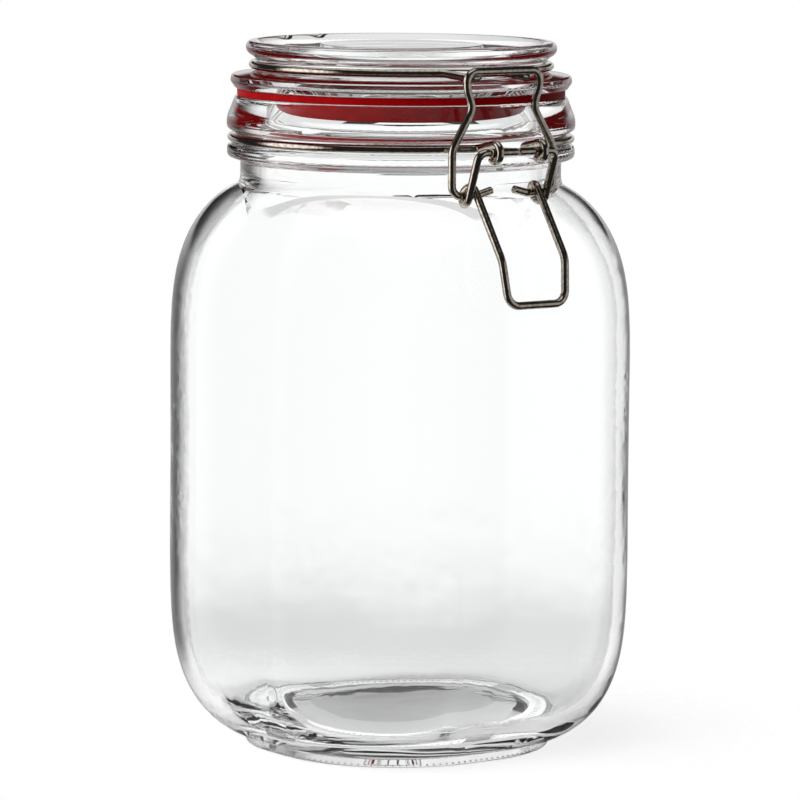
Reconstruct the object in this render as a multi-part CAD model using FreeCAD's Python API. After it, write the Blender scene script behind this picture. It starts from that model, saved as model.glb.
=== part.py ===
import FreeCAD, Part
import math
import os

from FreeCAD import Vector

# Clip-top glass storage jar, in millimetres.
# The origin is on the jar's axis in the plane it stands on.
# +Z is up, the clip faces -Y and the lid hinges at +Y.

# Glass body, a rounded square that turns round at the neck
body_half = 59.3
body_corner = 40.0
wall = 3.6
heel_top = 66.0
heel_rise_power = 4.4
heel_turn_power = 1.6
shoulder_start = 108.0
shoulder_height = 56.5
shoulder_rise_power = 3.6
shoulder_turn_power = 1.4
shoulder_face_drop = 2.0
shoulder_tuck = 1.5
shoulder_glass = 2.2

# Foot, floor and the hollow under the floor
foot_set_in = 16.7
foot_flat_half = 4.6
foot_height = 2.4
foot_edge_round = 1.0
heel_tuck = 0.8
floor_height = 9.5
floor_set_in = 1.5
floor_flat_half = 15.1
punt_depth = 4.0
punt_rim = 6.0
punt_slope = 11.0

# Neck and sealing rim
neck_r = 46.5
neck_rise = 6.1
neck_wall = 5.5
mouth_round = 1.2
neck_foot_round = 8.0
mouth_foot_round = 14.0
mouth_foot_lift = 1.5
ledge_reach = 3.85
ledge_height = 5.1
ledge_roundness = 0.27
neck_groove_depth = 2.5
groove_round = 0.3
bead_reach = 4.0
bead_height = 10.5
bead_taper = 2.5
bead_roundness = 0.2
bead_foot_roundness = 0.16
bead_belly = 7.0

# Wire and the way it fits
wire_d = 2.3
bend_r = 2.4
seat_gap = 0.1
side_gap = 0.45
pin_clearance = 0.08

# Gasket
gasket_reach = 1.0
gasket_thick = 2.1
gasket_round = 0.3
gasket_slack = 0.3
lip_thick = 0.9
lip_end_rise = 0.4
seal_gap = 0.05

# Glass lid
plug_gap = 1.6
plug_depth = 9.6
plug_draft = 2.8
plug_wall = 4.0
plug_slope = 2.0
flange_reach = 3.0
flange_thick = 5.1
flange_fall = 1.2
flange_widest = 0.4
flange_lean = 0.4
flange_undercut = 1.4
lid_groove_depth = 3.85
rim_set_in = 0.9
rim_height = 5.3
crest_set_in = 1.3
crest_width = 2.2
recess_depth = 2.7
recess_slope = 3.2
disc_r = 23.4
disc_rise = 1.8
disc_slope = 0.9
lid_plate = 7.4
edge_round = 0.8
rim_round = 1.2
rim_belly = 2.2
hollow_round = 2.0
step_round = 0.4

# Front eyes and lever
eye_reach = 8.0
eye_half = 7.8
eye_drop = 0.6
eye_turn = 235.0
pin_end_gap = 1.0
lever_leg_gap = 3.3
coil_clear = 0.58
coil_gap = 0.2
coil_step = 50.0
lever_bend_gap = 4.75
lever_bend_drop = 17.4
lever_bend_r = 8.0
lever_end_gap = 6.55
lever_end_drop = 29.9
lever_end_r = 4.0
lever_taper = 1.1

# Locking bail
bail_tuck = 1.65
bail_bar_half = 12.75
bail_bar_rise = 0.8
bail_corner_r = 3.0
bail_neck_drop = 5.0
bail_neck_taper = 0.25
bail_waist_drop = 10.2
bail_waist_taper = 2.25
bail_hip_drop = 21.8
bail_curve_r = 5.0
bail_tip_half = 4.0
bail_tip_rise = 1.2

# Nose of the lid wire, which the bail hooks over
nose_root_half = 14.5
nose_lobe_half = 9.1
nose_lobe_tuck = 0.9
nose_lobe_r = 2.0
nose_crest_half = 4.2
nose_crest_reach = 2.0
nose_gap = 2.1

# Rear hinge
hinge_reach = 6.9
hinge_bar_half = 11.0
hinge_leg_half = 6.4
hinge_turn = 250.0

# Levels, from the foot up
wire_r = wire_d / 2
shoulder_end = shoulder_start + shoulder_height
cavity_top = shoulder_end - shoulder_glass
ledge_bottom = shoulder_end + neck_rise
ledge_top = ledge_bottom + ledge_height
neck_wire_z = ledge_top + side_gap + wire_r
eye_z = neck_wire_z - eye_drop
bead_bottom = neck_wire_z + wire_r + side_gap
rim_top = bead_bottom + bead_height
gasket_bottom = rim_top + seal_gap
lid_bottom = gasket_bottom + gasket_thick
flange_top = lid_bottom + flange_thick
lid_wire_z = flange_top + side_gap + wire_r
lid_rim_bottom = lid_wire_z + wire_r + side_gap
crest_z = lid_rim_bottom + rim_height
bail_bar_z = lid_wire_z + bail_bar_rise

# Reaches from the jar's axis
foot_half = body_half - foot_set_in
foot_corner = foot_half - foot_flat_half
bore_r = neck_r - neck_wall
ledge_r = neck_r + ledge_reach
neck_groove_r = ledge_r - neck_groove_depth
neck_ring_r = neck_groove_r + seat_gap + wire_r
bead_r = neck_r + bead_reach
gasket_r = neck_r + gasket_reach
plug_r = bore_r - plug_gap
flange_r = neck_r + flange_reach
rim_r = neck_r - rim_set_in
lid_groove_r = rim_r - lid_groove_depth
lid_ring_r = lid_groove_r + seat_gap + wire_r
eye_y = -(neck_ring_r + eye_reach)
bail_y = -(max(bead_r, flange_r) + wire_r - bail_tuck)
hinge_y = neck_ring_r + hinge_reach

# The lever's coils hang from the bail, clear of the shoulder's slope
loop_r = wire_d + pin_clearance
coil_stand = (loop_r + wire_r + coil_clear) * math.sqrt(0.5)
face_turn = (body_half + bail_y + coil_stand) / (body_half - neck_r + shoulder_tuck)
face_rise = (1 - (1 - face_turn) ** shoulder_turn_power) ** (1 / shoulder_rise_power)
coil_z = shoulder_start + shoulder_height * face_rise - shoulder_face_drop + coil_stand

# Powers of the curves of the heel and the shoulder
heel_powers = (heel_rise_power, heel_turn_power)
shoulder_powers = (shoulder_rise_power, shoulder_turn_power)

# Half spans of the clip
lever_leg_half = eye_half + wire_d + lever_leg_gap
lever_inner_half = lever_leg_half - wire_d - coil_gap
lever_end_half = lever_inner_half - lever_taper
bail_hip_half = lever_leg_half + wire_r + bail_corner_r
bail_stub_half = lever_inner_half - wire_d


def half_diagonal(half, corner):
    """Reach of a rounded square along its diagonal."""
    return math.sqrt(2) * half - (math.sqrt(2) - 1) * corner


def rounded_square(half, diagonal, z):
    """Closed outline of four flats and four quarter circles, from its two reaches."""
    corner = (math.sqrt(2) * half - diagonal) / (math.sqrt(2) - 1)
    flat = half - corner
    bulge = flat + corner * math.sqrt(0.5)
    side = Part.LineSegment(Vector(half, -flat, z), Vector(half, flat, z)).toShape()
    turn = Part.Arc(Vector(half, flat, z), Vector(bulge, bulge, z), Vector(flat, half, z)).toShape()
    edges = []
    for quarter in range(4):
        for edge in (side, turn):
            edges.append(edge.rotated(Vector(), Vector(0, 0, 1), 90 * quarter))
    return Part.Wire(edges)


def blended(first, last, share):
    return first + (last - first) * share


def turned_in(level, start, end, powers):
    """Share by which a wall that turns in from start to end has turned at a level."""
    rise_power, turn_power = powers
    height = min(1.0, max(0.0, (level - start) / (end - start)))
    return 1 - (1 - height ** rise_power) ** (1 / turn_power)


def curved_wall(start, end, first, last, powers, steps, face_drop=0.0):
    """Outlines of a wall that turns in from the first reaches at start to the last reaches at end.

    The steps are degrees round the curve. The flats turn in lower than the corners by face_drop.
    """
    outlines = []
    for step in steps:
        z = blended(start, end, math.sin(math.radians(step)) ** (2 / powers[0]))
        half = blended(first[0], last[0], turned_in(z + face_drop, start, end, powers))
        diagonal = blended(first[1], last[1], turned_in(z, start, end, powers))
        outlines.append(rounded_square(half, diagonal, z))
    return outlines


def shoulder_half(z, inset, high, neck_reach):
    """Half width across the flats of the shoulder at a level."""
    share = turned_in(z + shoulder_face_drop, shoulder_start, high, shoulder_powers)
    return blended(body_half - inset, neck_reach, share)


def walled_form(inset, low, low_reaches, high, neck_reach):
    """Solid from the heel to the neck, inset from the outside of the body."""
    middle = (body_half - inset, half_diagonal(body_half, body_corner) - inset)
    heel_steps = (90, 75, 60, 45, 30, 15, 7, 0)
    heel = curved_wall(heel_top, low, middle, low_reaches, heel_powers, heel_steps)
    top = (neck_reach, neck_reach)
    shoulder_steps = (0, 7, 15, 30, 45, 60, 72, 86)
    shoulder = curved_wall(
        shoulder_start, high, middle, top, shoulder_powers, shoulder_steps, shoulder_face_drop
    )
    return Part.makeLoft(heel + shoulder, True, False)


def arc_at_corner(before, corner, after, radius):
    """Start, middle and end of the arc that rounds a corner."""
    into = (corner - before).normalize()
    out = (after - corner).normalize()
    half_turn = into.getAngle(out) / 2
    reach = radius * math.tan(half_turn)
    inward = (out - into).normalize()
    middle = corner + inward * (radius / math.cos(half_turn) - radius)
    return corner - into * reach, middle, corner + out * reach


def line(start, end):
    return Part.LineSegment(start, end).toShape()


def bent(points, radii):
    """Straight runs through the points, with a tangent arc at each inner point."""
    edges = []
    start = points[0]
    for before, here, after, radius in zip(points, points[1:], points[2:], radii):
        arc_start, middle, arc_end = arc_at_corner(before, here, after, radius)
        edges.append(line(start, arc_start))
        edges.append(Part.Arc(arc_start, middle, arc_end).toShape())
        start = arc_end
    edges.append(line(start, points[-1]))
    return edges


def turned(section):
    """Solid of revolution about Z from the (radius, height, rounding) corners of its half section."""
    corners = [Vector(radius, 0, height) for radius, height, rounding in section]
    starts = []
    ends = []
    edges = []
    for index, here in enumerate(corners):
        start, end = here, here
        rounding = section[index][2]
        if rounding > 0:
            after = corners[(index + 1) % len(corners)]
            start, middle, end = arc_at_corner(corners[index - 1], here, after, rounding)
            edges.append(Part.Arc(start, middle, end).toShape())
        starts.append(start)
        ends.append(end)
    for index, end in enumerate(ends):
        edges.append(line(end, starts[(index + 1) % len(starts)]))
    face = Part.Face(Part.Wire(Part.__sortEdges__(edges)))
    return face.revolve(Vector(), Vector(0, 0, 1), 360)


def ring_lead(ring_r, run_half):
    """Where a ring's lead leaves it, and the lead's corner with a radial run at run_half."""
    touch_half = run_half + bend_r
    angle = math.asin(touch_half / ring_r)
    touch_y = ring_r * math.cos(angle)
    corner_y = touch_y + bend_r * math.tan(angle)
    return touch_half, touch_y, corner_y


def touch_angle(point, centre, side):
    """Angle round a loop at the front where a run from the point touches it."""
    outward = abs(centre.y) - abs(point.y)
    up = centre.z - point.z
    offset = math.asin(loop_r / math.hypot(outward, up))
    return math.atan2(up, outward) + side * (offset + math.pi / 2)


def on_loop(centre, angle, outward):
    """Point of a loop about an axis along X, with angles from outward towards up."""
    return centre + Vector(0, outward * loop_r * math.cos(angle), loop_r * math.sin(angle))


def curl(centre, start, sweep, outward):
    """Loop about an axis along X, in two equal arcs."""
    edges = []
    for half in (0, 1):
        angles = [start + sweep * (half + share) / 2 for share in (0, 0.5, 1)]
        edges.append(Part.Arc(*[on_loop(centre, angle, outward) for angle in angles]).toShape())
    return edges


def biarc(start, start_way, end, end_way):
    """Two arcs that leave start and reach end along the given ways."""
    across = end - start
    along = across.dot(start_way + end_way)
    spread = 2 * (1 - start_way.dot(end_way))
    reach = (math.sqrt(along ** 2 + spread * across.dot(across)) - along) / spread
    first_corner = start + start_way * reach
    last_corner = end - end_way * reach
    joint = (first_corner + last_corner) * 0.5
    edges = []
    for here, corner, there in ((start, first_corner, joint), (joint, last_corner, end)):
        half_turn = (corner - here).getAngle(there - corner) / 2
        depth = here.distanceToPoint(there) / 2 * math.tan(half_turn / 2)
        chord_middle = (here + there) * 0.5
        middle = chord_middle + (corner - chord_middle).normalize() * depth
        edges.append(Part.Arc(here, middle, there).toShape())
    return edges


def coil(centre, start, sweep):
    """Loop of a lever leg round the bail's stub, stepping aside to clear itself."""
    side_shift = lever_inner_half - lever_leg_half
    spans = math.ceil(abs(sweep) / math.radians(coil_step))
    places = []
    for index in range(spans + 1):
        share = index / spans
        angle = start + sweep * share
        half = lever_leg_half + side_shift * (1 - math.cos(math.pi * share)) / 2
        side_way = side_shift * math.pi / 2 * math.sin(math.pi * share)
        place = on_loop(Vector(half, centre.y, centre.z), angle, -1)
        way = Vector(side_way, loop_r * math.sin(angle) * sweep, loop_r * math.cos(angle) * sweep)
        places.append((place, way.normalize()))
    edges = []
    for here, there in zip(places, places[1:]):
        edges += biarc(*here, *there)
    return edges


def bent_wire(edges):
    """Both halves of a round wire, from the centre line of the half at +X."""
    path = Part.Wire(edges)
    start_way = edges[0].tangentAt(edges[0].FirstParameter)
    section = Part.Circle(edges[0].Vertexes[0].Point, start_way, wire_r).toShape()
    half = path.makePipeShell([Part.Wire(section)], True, False)
    expected = math.pi * wire_r ** 2 * path.Length
    print("half wire: volume %.1f, section times length %.1f" % (half.Volume, expected))
    return half.fuse(half.mirror(Vector(), Vector(1, 0, 0))).removeSplitter()


def foot():
    outline = rounded_square(foot_half, half_diagonal(foot_half, foot_corner), 0)
    block = Part.Face(outline).extrude(Vector(0, 0, foot_height + heel_tuck))
    bottom_edges = [edge for edge in block.Edges if edge.BoundBox.ZMax < foot_edge_round]
    return block.makeFillet(foot_edge_round, bottom_edges)


def neck_finish():
    """Solid neck with the ledge, the groove for the wire and the bead under the rim."""
    root = shoulder_end - neck_rise
    root_r = shoulder_half(root, 0, shoulder_end, neck_r - shoulder_tuck)
    ledge_round = ledge_height * ledge_roundness
    bead_round = bead_height * bead_roundness
    return turned([
        (0, root, 0),
        (root_r, root, 0),
        (neck_r, shoulder_end, neck_foot_round),
        (neck_r, ledge_bottom, ledge_round / 2),
        (ledge_r, ledge_bottom + ledge_round, ledge_round),
        (ledge_r, ledge_top - ledge_round / 4, ledge_round),
        (neck_groove_r, ledge_top, groove_round),
        (neck_groove_r, bead_bottom, groove_round),
        (bead_r, bead_bottom + bead_round / 2, bead_height * bead_foot_roundness),
        (bead_r, bead_bottom + bead_round * 2, bead_belly),
        (bead_r - bead_taper, rim_top, bead_round / 2),
        (0, rim_top, 0),
    ])


def mouth():
    """Space inside the neck, with the rim's inner edge rounded off."""
    root = shoulder_end - neck_rise * 2
    root_r = shoulder_half(root, wall, cavity_top, bore_r - shoulder_tuck)
    return turned([
        (0, root, 0),
        (root_r, root, 0),
        (bore_r, shoulder_end + mouth_foot_lift, mouth_foot_round),
        (bore_r, rim_top - mouth_round, mouth_round),
        (bore_r + mouth_round * 2, rim_top + mouth_round, 0),
        (0, rim_top + mouth_round, 0),
    ])


def punt():
    """Hollow under the floor, as shares of its slope's width and of its depth."""
    outlines = []
    for inward, upward in ((0, -0.2), (0, 0), (0.35, 0.7), (1, 1)):
        set_in = punt_rim + punt_slope * inward
        half = foot_half - set_in
        diagonal = half_diagonal(half, foot_corner - set_in)
        outlines.append(rounded_square(half, diagonal, punt_depth * upward))
    return Part.makeLoft(outlines, True, True)


def jar_body():
    foot_diagonal = half_diagonal(foot_half, foot_corner)
    heel_reaches = (foot_half - heel_tuck, foot_diagonal - heel_tuck)
    floor_half = foot_half - floor_set_in
    floor_reaches = (floor_half, half_diagonal(floor_half, floor_half - floor_flat_half))
    outside = walled_form(0, foot_height, heel_reaches, shoulder_end, neck_r - shoulder_tuck)
    cavity = walled_form(wall, floor_height, floor_reaches, cavity_top, bore_r - shoulder_tuck)
    return outside.fuse([foot(), neck_finish()]).cut(cavity).cut(mouth()).cut(punt())


def glass_lid():
    floor = crest_z - recess_depth
    underside = floor - lid_plate
    plug_bottom = lid_bottom - plug_depth
    plug_foot_r = plug_r - plug_draft
    plug_in_r = plug_foot_r - plug_wall
    crest_out_r = rim_r - crest_set_in
    crest_in_r = crest_out_r - crest_width
    return turned([
        (0, underside, 0),
        (plug_in_r - plug_slope, underside, hollow_round),
        (plug_in_r, plug_bottom, rim_round),
        (plug_foot_r, plug_bottom, edge_round),
        (plug_r, lid_bottom, groove_round),
        (flange_r - flange_undercut, lid_bottom, edge_round),
        (flange_r, lid_bottom + flange_thick * flange_widest, rim_round),
        (flange_r - flange_lean, flange_top - flange_fall, edge_round),
        (lid_groove_r, flange_top, step_round),
        (lid_groove_r, lid_rim_bottom, step_round),
        (rim_r, lid_rim_bottom + rim_height / 2, rim_belly),
        (crest_out_r, crest_z, rim_round),
        (crest_in_r, crest_z, edge_round),
        (crest_in_r - recess_slope, floor, hollow_round),
        (disc_r + disc_slope, floor, step_round),
        (disc_r, floor + disc_rise, step_round),
        (0, floor + disc_rise, 0),
    ])


def rubber_gasket():
    """Flat ring on the sealing rim, with a lip that hangs round the lid's plug."""
    slope = plug_draft / plug_depth
    inner_r = plug_r + gasket_slack
    lip_root_r = inner_r - slope * gasket_thick + lip_thick
    lip_foot_r = inner_r - slope * (plug_depth - lip_end_rise)
    lip_bottom = lid_bottom - plug_depth + lip_end_rise
    return turned([
        (lip_foot_r, lip_bottom, gasket_round),
        (lip_foot_r + lip_thick, lip_bottom, gasket_round),
        (lip_root_r, gasket_bottom, gasket_round),
        (gasket_r, gasket_bottom, gasket_round),
        (gasket_r, lid_bottom, gasket_round),
        (inner_r, lid_bottom, gasket_round),
    ])


def neck_wire():
    """Ring in the jar's groove, with the hinge bar behind and two open eyes in front."""
    z = neck_wire_z
    rear_half, rear_y, rear_corner_y = ring_lead(neck_ring_r, hinge_bar_half)
    front_half, front_y, front_corner_y = ring_lead(neck_ring_r, eye_half)
    ring_start = Vector(rear_half, rear_y, z)
    ring_end = Vector(front_half, -front_y, z)
    front_corner = Vector(eye_half, -front_corner_y, z)
    eye = Vector(eye_half, eye_y, eye_z)
    eye_start = touch_angle(front_corner, eye, 1)
    bar_end = Vector(hinge_bar_half, hinge_y, z)
    rear_corner = Vector(hinge_bar_half, rear_corner_y, z)
    edges = bent([Vector(0, hinge_y, z), bar_end, rear_corner, ring_start], [bend_r, bend_r])
    edges.append(Part.Arc(ring_start, Vector(neck_ring_r, 0, z), ring_end).toShape())
    edges += bent([ring_end, front_corner, on_loop(eye, eye_start, -1)], [bend_r])
    edges += curl(eye, eye_start, -math.radians(eye_turn), -1)
    return bent_wire(edges)


def lid_wire():
    """Ring in the lid's groove, with the nose in front and two legs that curl round the hinge bar."""
    z = lid_wire_z
    nose_half, nose_y, nose_corner_y = ring_lead(lid_ring_r, nose_root_half)
    rear_half, rear_y, rear_corner_y = ring_lead(lid_ring_r, hinge_leg_half)
    ring_start = Vector(nose_half, -nose_y, z)
    ring_end = Vector(rear_half, rear_y, z)
    crest_y = -(lid_ring_r + nose_crest_reach)
    crest_end = Vector(nose_crest_half, crest_y, z)
    lobe = Vector(nose_lobe_half, bail_y + nose_lobe_tuck, bail_bar_z - nose_gap)
    nose_root = Vector(nose_root_half, -nose_corner_y, z)
    hinge = Vector(hinge_leg_half, hinge_y, neck_wire_z)
    leg_end = on_loop(hinge, math.pi, 1)
    rear_corner = Vector(hinge_leg_half, rear_corner_y, z)
    leg_top = Vector(hinge_leg_half, leg_end.y, z)
    nose = [Vector(0, crest_y, z), crest_end, lobe, nose_root, ring_start]
    edges = bent(nose, [bend_r, nose_lobe_r, bend_r])
    edges.append(Part.Arc(ring_start, Vector(lid_ring_r, 0, z), ring_end).toShape())
    edges += bent([ring_end, rear_corner, leg_top, leg_end], [bend_r, bend_r])
    edges += curl(hinge, math.pi, math.radians(hinge_turn), 1)
    return bent_wire(edges)


def lever():
    """Pins in the eyes, a leg down to a coil round the bail's stub, and the pull below."""
    pivot = Vector(lever_leg_half, eye_y, eye_z)
    coil_centre = Vector(lever_leg_half, bail_y, coil_z)
    coil_exit = Vector(lever_inner_half, bail_y, coil_z)
    bend_y = -(body_half + lever_bend_gap + wire_r)
    end_y = -(body_half + lever_end_gap + wire_r)
    bend = Vector(lever_inner_half, bend_y, coil_z - lever_bend_drop)
    end = Vector(lever_end_half, end_y, coil_z - lever_end_drop)
    arrive = touch_angle(pivot, coil_centre, 1)
    leave = touch_angle(bend, coil_exit, -1)
    sweep = (leave - arrive) % (2 * math.pi) - 2 * math.pi
    pin_end = Vector(pin_end_gap / 2, eye_y, eye_z)
    edges = bent([pin_end, pivot, on_loop(coil_centre, arrive, -1)], [bend_r])
    edges += coil(coil_centre, arrive, sweep)
    pull = [on_loop(coil_exit, leave, -1), bend, end, Vector(0, end_y, end.z)]
    edges += bent(pull, [lever_bend_r, lever_end_r])
    return bent_wire(edges)


def locking_bail():
    """Bar over the lid wire's nose, waisted legs, and stubs that turn in the lever's coils."""
    outline = (
        (0, bail_bar_z),
        (bail_bar_half, bail_bar_z),
        (bail_bar_half - bail_neck_taper, bail_bar_z - bail_neck_drop),
        (bail_bar_half - bail_waist_taper, bail_bar_z - bail_waist_drop),
        (bail_hip_half, bail_bar_z - bail_hip_drop),
        (bail_hip_half, coil_z),
        (bail_stub_half, coil_z),
        (bail_tip_half, coil_z + bail_tip_rise),
    )
    radii = [bail_corner_r, bail_curve_r, bail_curve_r, bail_curve_r, bail_corner_r, bend_r]
    return bent_wire(bent([Vector(half, bail_y, z) for half, z in outline], radii))


os.makedirs("parts", exist_ok=True)
for make in (jar_body, neck_wire, glass_lid, rubber_gasket, lid_wire, lever, locking_bail):
    shape = make()
    shape.exportStep("parts/%s.step" % make.__name__)
    print("%s: solids %d, volume %.0f" % (make.__name__, len(shape.Solids), shape.Volume))
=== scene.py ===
import math

import bpy
from mathutils import Matrix, Vector


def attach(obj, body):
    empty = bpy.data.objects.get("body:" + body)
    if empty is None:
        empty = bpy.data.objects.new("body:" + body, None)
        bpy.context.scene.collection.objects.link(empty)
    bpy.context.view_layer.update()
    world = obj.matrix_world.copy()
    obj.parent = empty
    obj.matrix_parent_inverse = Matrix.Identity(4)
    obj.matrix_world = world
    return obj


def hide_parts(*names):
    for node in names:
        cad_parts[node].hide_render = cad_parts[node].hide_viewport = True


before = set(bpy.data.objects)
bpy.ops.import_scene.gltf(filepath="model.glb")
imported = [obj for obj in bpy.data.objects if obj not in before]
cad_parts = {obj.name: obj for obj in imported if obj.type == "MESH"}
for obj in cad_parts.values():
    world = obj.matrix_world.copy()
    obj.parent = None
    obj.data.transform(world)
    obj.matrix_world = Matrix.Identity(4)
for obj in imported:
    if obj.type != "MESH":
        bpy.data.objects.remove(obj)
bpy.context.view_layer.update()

# Camera, as the photo was taken, in degrees, metres and pixels, with its sensor in millimetres
camera_azimuth = -35.1
camera_distance = 1.5
camera_height = 0.286
camera_pitch = 7.05
camera_roll = 0.4
camera_yaw = 0.01
focal_pixels = 5184
image_pixels = 800
sensor_width = 36.0

# Light of strength 1 is white. An edge is the span over which light comes or goes, as a ray turns to the
# right of the picture, towards the camera or upwards. A slant counts up and down alike
white = (1, 1, 1, 1)

# Light boxes that the shine on wire and glass shows
left_light = 1.8
left_edge = (-0.9, -0.7)
left_rear_edge = (-0.35, -0.1)
right_light = 0.45
right_edge = (0.55, 0.8)
right_slant = (0.3, 0.5)
rear_light = 0.9
rear_edge = (-0.9, -0.7)
rear_low_edge = (-0.05, 0.08)
rear_low_share = 0.5
rear_high_edge = (0.09, 0.16)
front_light = 0.12
front_edge = (0.7, 0.9)
front_slant = (0.2, 0.4)
overhead_light = 0.85
overhead_edge = (0.82, 0.95)
room_light = 0.025

# Backdrop that is seen straight through the glass, at its foot and above
backdrop_light = (0.82, 1.14)
backdrop_foot = (-0.205, -0.135)
backdrop_top = (0.1, 0.4)
backdrop_top_share = 0.35

# Light that the glass folds back inside itself, which draws the dark lines along its edges
folded_left_light = (0.25, 0.85)
folded_left_depth = (-0.95, -0.6)
folded_side = (-0.4, 0.5)
dark_share = 0.05
dark_start = -0.99
dark_ends = (-0.75, -0.9)
dark_side = (-0.2, 0.2)
near_share = 0.3
near_edge = (-0.3, 0.2)
low_share = 1.35
low_edge = (-0.5, -0.2)
inner_reflections = 12

# Fill on rubber and floor, from left to right, seen bare and seen through glass
bare_fill = (1.2, 0.1)
covered_fill = (2.9, 0.42)
fill_side = (-0.9, 0.0)
covered_top = (-0.2, 0.3)
covered_top_share = 0.4

# Key light
key_power = 9.0
key_size = 1.6
key_place = (-1.3, -0.7, 1.1)

# Floor, which fades out round the jar and is lifted towards white where it is seen
floor_reach = 0.3
floor_fade = (0.06, 0.14)
floor_color = (0.8, 0.8, 0.8, 1)
floor_roughness = 0.9
floor_seen = 0.72
floor_seen_through = 0.58

# Clear glass, with waves in it from the mould
glass_tint = (0.99, 0.996, 0.994, 1)
glass_index = 1.51
wave_scale = 55.0
wave_depth = 0.0002
wave_strength = 0.5

# Plated wire
wire_bright = (0.56, 0.51, 0.45, 1)
wire_tarnished = (0.36, 0.31, 0.25, 1)
tarnish_scale = 900.0
tarnish_edge = (0.35, 0.7)
polish_scale = 2200.0
polish_roughness = (0.06, 0.16)
dent_scale = 700.0
dent_depth = 0.0001

# Red rubber
rubber_dark = (0.36, 0.001, 0.003, 1)
rubber_bright = (0.46, 0.002, 0.004, 1)
rubber_shine = 0.03
shade_scale = 450.0
satin_scale = 1500.0
satin_roughness = (0.35, 0.5)
grain_scale = 3000.0
grain_depth = 0.00005

# Noise on wire and rubber
noise_edge = (0.3, 0.7)
fine_detail = 3.0
relief_strength = 0.3

# Gasket, pressed against the glass on both sides
gasket_thick = 0.0021
seal_gap = 0.00005
contact = 0.00002
level_step = 0.000004

# Dimples pressed into the ring that the jar stands on, with their radii across, along and up
dimple_count = 132
dimple_inset = 0.0022
dimple_radii = (0.00036, 0.0011, 0.0003)
dimple_lift = 0.00045
dimple_rings = 6
dimple_sides = 10
foot_corner = 0.037


def turn(degrees, axis):
    return Matrix.Rotation(math.radians(degrees), 4, axis)


def add(name, data):
    made = bpy.data.objects.new(name, data)
    bpy.context.scene.collection.objects.link(made)
    return made


def add_mesh(name, points, faces, material):
    mesh = bpy.data.meshes.new(name)
    mesh.from_pydata(points, [], faces)
    mesh.materials.append(material)
    mesh.shade_smooth()
    return add(name, mesh)


class Nodes:
    """Short ways to add and join shader nodes in one tree."""

    def __init__(self, tree):
        self.tree = tree

    def add(self, kind, inputs=(), **settings):
        node = self.tree.nodes.new(kind)
        for key, value in settings.items():
            setattr(node, key, value)
        for key, value in dict(inputs).items():
            self.set(node.inputs[key], value)
        return node

    def set(self, socket, value):
        if isinstance(value, bpy.types.NodeSocket):
            self.tree.links.new(value, socket)
        else:
            socket.default_value = value

    def math(self, operation, first, second=0.0):
        return self.add("ShaderNodeMath", {0: first, 1: second}, operation=operation).outputs[0]

    def product(self, first, *others):
        for other in others:
            first = self.math("MULTIPLY", first, other)
        return first

    def some(self, count):
        """1 where a count of bounces is above zero, or else 0."""
        return self.math("GREATER_THAN", count, 0.5)

    def smooth(self, value, low, high, start=0.0, end=1.0):
        """Start below the low value, end above the high one, and a soft change between them."""
        inputs = {"Value": value, "From Min": low, "From Max": high, "To Min": start, "To Max": end}
        return self.add("ShaderNodeMapRange", inputs, interpolation_type="SMOOTHSTEP").outputs[0]

    def pick(self, share, first, last):
        """Mix of two numbers, which is the last one where the share is 1."""
        return self.add("ShaderNodeMix", {0: share, 2: first, 3: last}).outputs[0]

    def mix(self, share, first, last):
        """The same for two colours."""
        node = self.add("ShaderNodeMix", {0: share, 6: first, 7: last}, data_type="RGBA")
        return node.outputs[2]

    def along(self, way, degrees):
        """How far a direction points towards a level heading."""
        heading = (math.cos(math.radians(degrees)), math.sin(math.radians(degrees)), 0)
        node = self.add("ShaderNodeVectorMath", {0: way, 1: heading}, operation="DOT_PRODUCT")
        return node.outputs["Value"]

    def noise(self, scale, detail=2.0):
        place = self.add("ShaderNodeTexCoord").outputs["Object"]
        inputs = {"Vector": place, "Scale": scale, "Detail": detail}
        return self.add("ShaderNodeTexNoise", inputs).outputs["Fac"]

    def bump(self, height, distance, strength):
        inputs = {"Height": height, "Distance": distance, "Strength": strength}
        return self.add("ShaderNodeBump", inputs).outputs["Normal"]


def principled(name, **values):
    """New material, its node helper and its shader's inputs, with constants set by name."""
    material = bpy.data.materials.new(name)
    material.use_nodes = True
    inputs = material.node_tree.nodes["Principled BSDF"].inputs
    for key, value in values.items():
        inputs[key.replace("_", " ")].default_value = value
    return material, Nodes(material.node_tree), inputs


def make_glass():
    """Clear pressed glass with slow waves left by the mould."""
    material, nodes, inputs = principled(
        "clear_glass", Base_Color=glass_tint, Transmission_Weight=1.0, IOR=glass_index, Roughness=0.0
    )
    waves = nodes.noise(wave_scale, detail=1.0)
    nodes.set(inputs["Normal"], nodes.bump(waves, wave_depth, wave_strength))
    return material


def make_wire():
    """Plated steel wire, a little uneven and tarnished."""
    material, nodes, inputs = principled("plated_wire", Metallic=1.0)
    tarnish = nodes.smooth(nodes.noise(tarnish_scale, fine_detail), *tarnish_edge)
    polish = nodes.smooth(nodes.noise(polish_scale), *noise_edge, *polish_roughness)
    nodes.set(inputs["Base Color"], nodes.mix(tarnish, wire_bright, wire_tarnished))
    nodes.set(inputs["Roughness"], polish)
    nodes.set(inputs["Normal"], nodes.bump(nodes.noise(dent_scale), dent_depth, relief_strength))
    return material


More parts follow.
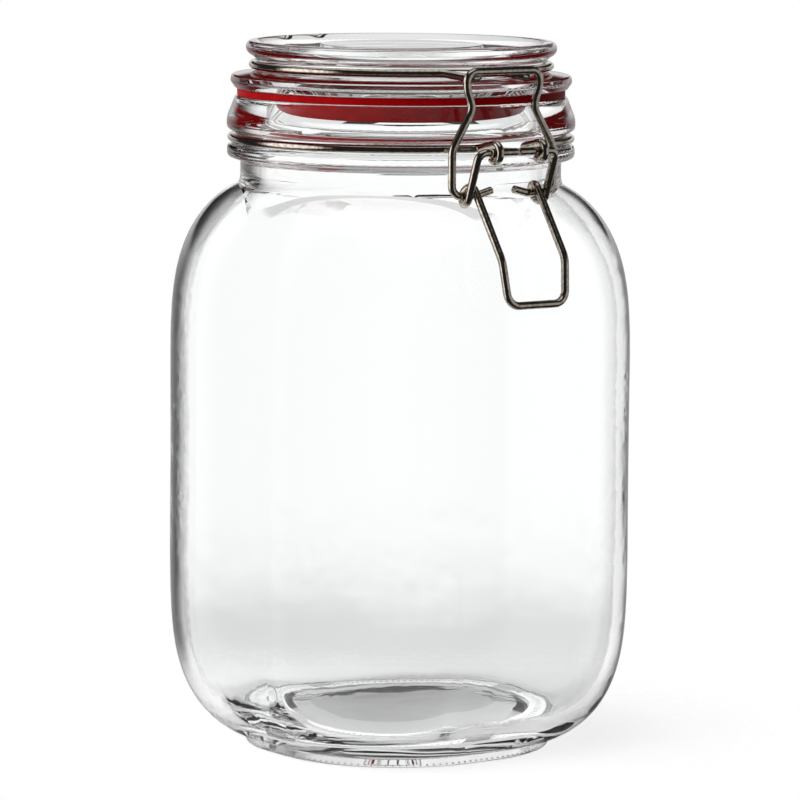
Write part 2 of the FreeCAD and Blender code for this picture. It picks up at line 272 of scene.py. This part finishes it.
def make_rubber():
    """Satin red rubber with a fine grain."""
    material, nodes, inputs = principled("red_rubber", Specular_IOR_Level=rubber_shine)
    shade = nodes.smooth(nodes.noise(shade_scale, fine_detail), *noise_edge)
    satin = nodes.smooth(nodes.noise(satin_scale), *noise_edge, *satin_roughness)
    nodes.set(inputs["Base Color"], nodes.mix(shade, rubber_dark, rubber_bright))
    nodes.set(inputs["Roughness"], satin)
    nodes.set(inputs["Normal"], nodes.bump(nodes.noise(grain_scale), grain_depth, relief_strength))
    return material


def make_camera():
    data = bpy.data.cameras.new("camera")
    data.sensor_width = sensor_width
    data.lens = sensor_width * focal_pixels / image_pixels
    camera = add("camera", data)
    place = turn(camera_azimuth, "Z") @ Matrix.Translation((0, -camera_distance, camera_height))
    aim = turn(-camera_yaw, "Z") @ turn(90 - camera_pitch, "X") @ turn(camera_roll, "Z")
    camera.matrix_world = place @ aim
    bpy.context.scene.camera = camera


def reflected_light(nodes, path, right, front, height):
    """Dim room with light boxes. Smooth glass shows the front box where the wires show the side boxes."""
    slant = nodes.math("ABSOLUTE", height)
    left_box = nodes.product(
        nodes.smooth(right, *left_edge, left_light, 0.0),
        nodes.smooth(front, *left_rear_edge),
    )
    right_box = nodes.product(
        nodes.smooth(right, *right_edge, 0.0, right_light),
        nodes.smooth(slant, *right_slant, 1.0, 0.0),
    )
    rear_box = nodes.product(
        nodes.smooth(front, *rear_edge, rear_light, 0.0),
        nodes.smooth(height, *rear_low_edge, rear_low_share, 1.0),
        nodes.smooth(height, *rear_high_edge, 1.0, 0.0),
    )
    front_box = nodes.product(
        nodes.smooth(front, *front_edge, 0.0, front_light),
        nodes.smooth(slant, *front_slant, 1.0, 0.0),
    )
    overhead = nodes.smooth(height, *overhead_edge, 0.0, overhead_light)
    side_boxes = nodes.math("MAXIMUM", left_box, right_box)
    boxes = nodes.pick(path["Is Singular Ray"], side_boxes, front_box)
    boxes = nodes.math("MAXIMUM", nodes.math("MAXIMUM", boxes, rear_box), overhead)
    return nodes.math("ADD", boxes, room_light)


def light_through_glass(nodes, path, right, front, height):
    """Backdrop seen straight through the glass, or the light that the glass folds back inside itself."""
    straight = nodes.product(
        nodes.smooth(height, *backdrop_foot, *backdrop_light),
        nodes.smooth(height, *backdrop_top, 1.0, backdrop_top_share),
    )
    left = nodes.smooth(front, *folded_left_depth, *folded_left_light)
    dark_end = nodes.smooth(right, *dark_side, *dark_ends)
    folded = nodes.product(
        nodes.smooth(right, *folded_side, left, 1.0),
        nodes.smooth(front, dark_start, dark_end, dark_share, 1.0),
        nodes.smooth(front, *near_edge, 1.0, near_share),
        nodes.smooth(height, *low_edge, low_share, 1.0),
    )
    return nodes.pick(nodes.some(path["Glossy Depth"]), straight, folded)


def scattered_light(nodes, path, right, height):
    """Fill from the left on rubber and floor, stronger where they are seen through glass."""
    bare = nodes.smooth(right, *fill_side, *bare_fill)
    covered = nodes.product(
        nodes.smooth(right, *fill_side, *covered_fill),
        nodes.smooth(height, *covered_top, 1.0, covered_top_share),
    )
    return nodes.pick(nodes.some(path["Transmission Depth"]), bare, covered)


def make_world():
    """White behind the jar, and for every other kind of ray the light that the studio gives it."""
    world = bpy.data.worlds.new("studio")
    bpy.context.scene.world = world
    world.use_nodes = True
    world.cycles.sampling_method = "NONE"
    nodes = Nodes(world.node_tree)
    path = nodes.add("ShaderNodeLightPath").outputs
    way = nodes.add("ShaderNodeTexCoord").outputs["Generated"]
    right = nodes.along(way, camera_azimuth)
    front = nodes.along(way, camera_azimuth - 90)
    height = nodes.add("ShaderNodeSeparateXYZ", {0: way}).outputs["Z"]
    reflected = reflected_light(nodes, path, right, front, height)
    through = light_through_glass(nodes, path, right, front, height)
    scattered = scattered_light(nodes, path, right, height)
    light = nodes.pick(path["Is Transmission Ray"], reflected, through)
    light = nodes.pick(nodes.some(path["Diffuse Depth"]), light, scattered)
    light = nodes.pick(path["Is Camera Ray"], light, 1.0)
    background = world.node_tree.nodes["Background"]
    background.inputs["Color"].default_value = white
    nodes.set(background.inputs["Strength"], light)


def make_floor():
    """Pale floor that keeps the shadow near the jar and fades into the white around it."""
    material, nodes, inputs = principled(
        "pale_floor", Base_Color=floor_color, Roughness=floor_roughness, Emission_Color=white
    )
    path = nodes.add("ShaderNodeLightPath").outputs
    looked_at = nodes.math("MULTIPLY", path["Is Camera Ray"], floor_seen)
    looked_through = nodes.math("MULTIPLY", path["Is Transmission Ray"], floor_seen_through)
    nodes.set(inputs["Emission Strength"], nodes.math("ADD", looked_at, looked_through))
    place = nodes.add("ShaderNodeTexCoord").outputs["Object"]
    reach = nodes.add("ShaderNodeVectorMath", {0: place}, operation="LENGTH").outputs["Value"]
    nodes.set(inputs["Alpha"], nodes.smooth(reach, *floor_fade, 1.0, 0.0))
    corners = [(-1, -1), (1, -1), (1, 1), (-1, 1)]
    points = [(x * floor_reach, y * floor_reach, 0) for x, y in corners]
    add_mesh("floor", points, [(0, 1, 2, 3)], material)


def make_key():
    """Large soft light at the upper left, which shows in no reflection and through no glass."""
    data = bpy.data.lights.new("key", "AREA")
    data.energy = key_power
    data.size = key_size
    key = add("key", data)
    key.location = key_place
    key.rotation_euler = (-Vector(key_place)).to_track_quat("-Z", "Y").to_euler()
    key.visible_transmission = False
    key.visible_glossy = False


def make_gasket(material):
    """The gasket as it lies when clamped, touching the lid and the rim so that it shows through them."""
    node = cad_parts["rubber_gasket"]
    mesh = node.data.copy()
    top = max(vertex.co.z for vertex in mesh.vertices)
    for vertex in mesh.vertices:
        if top - vertex.co.z < level_step:
            vertex.co.z += contact
        elif abs(top - gasket_thick - vertex.co.z) < level_step:
            vertex.co.z -= seal_gap + contact
    mesh.materials.clear()
    mesh.materials.append(material)
    gasket = add("sealing_ring", mesh)
    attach(gasket, "lid")
    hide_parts("rubber_gasket")


def around_square(half, corner, count):
    """Evenly spaced places round a rounded square, each with its heading."""
    flat = half - corner
    arc = corner * math.pi / 2
    quarter = 2 * flat + arc
    for index in range(count):
        turns, along = divmod(4 * quarter * index / count, quarter)
        if along < 2 * flat:
            place, heading = Vector((half, along - flat, 0)), 0.0
        else:
            heading = (along - 2 * flat) / corner
            place = Vector((flat + corner * math.cos(heading), flat + corner * math.sin(heading), 0))
        quarter_turn = Matrix.Rotation(turns * math.pi / 2, 3, "Z")
        yield quarter_turn @ place, heading + turns * math.pi / 2


def dimple_points(place, heading):
    """Points of one hollow: its top, its rings from the top down, and its bottom."""
    across, along, up = dimple_radii
    spin = Matrix.Rotation(heading, 3, "Z")
    yield place + Vector((0, 0, dimple_lift + up))
    for ring in range(1, dimple_rings):
        tilt = math.pi * ring / dimple_rings
        for side in range(dimple_sides):
            angle = 2 * math.pi * side / dimple_sides
            local = Vector((
                along * math.sin(tilt) * math.cos(angle),
                across * math.sin(tilt) * math.sin(angle),
                up * math.cos(tilt) + dimple_lift,
            ))
            yield place + spin @ local
    yield place + Vector((0, 0, dimple_lift - up))


def dimple_faces(top):
    """Faces of one hollow, looking into it, where its points are numbered from its top."""
    first_ring = top + 1
    last_ring = first_ring + (dimple_rings - 2) * dimple_sides
    bottom = last_ring + dimple_sides
    for side in range(dimple_sides):
        after = (side + 1) % dimple_sides
        yield top, first_ring + after, first_ring + side
        for ring in range(first_ring, last_ring, dimple_sides):
            below = ring + dimple_sides
            yield ring + side, ring + after, below + after, below + side
        yield last_ring + side, last_ring + after, bottom


def make_dimples(material):
    """Ring of small hollows in the glass just above the bearing ring."""
    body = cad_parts["jar_body"].data
    reach = max(vertex.co.x for vertex in body.vertices if vertex.co.z < level_step)
    points = []
    faces = []
    for place, heading in around_square(reach - dimple_inset, foot_corner - dimple_inset, dimple_count):
        faces.extend(dimple_faces(len(points)))
        points.extend(dimple_points(place, heading))
    dimples = add_mesh("foot_dimples", points, faces, material)
    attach(dimples, "jar")


def dress(names, material):
    for name in names:
        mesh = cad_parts[name].data
        mesh.materials.clear()
        mesh.materials.append(material)


make_camera()
make_world()
make_floor()
make_key()
glass = make_glass()
dress(("jar_body", "glass_lid"), glass)
dress(("neck_wire", "lid_wire", "lever", "locking_bail"), make_wire())
make_gasket(make_rubber())
make_dimples(glass)

bpy.context.scene.view_settings.view_transform = "Standard"
bpy.context.scene.cycles.glossy_bounces = inner_reflections
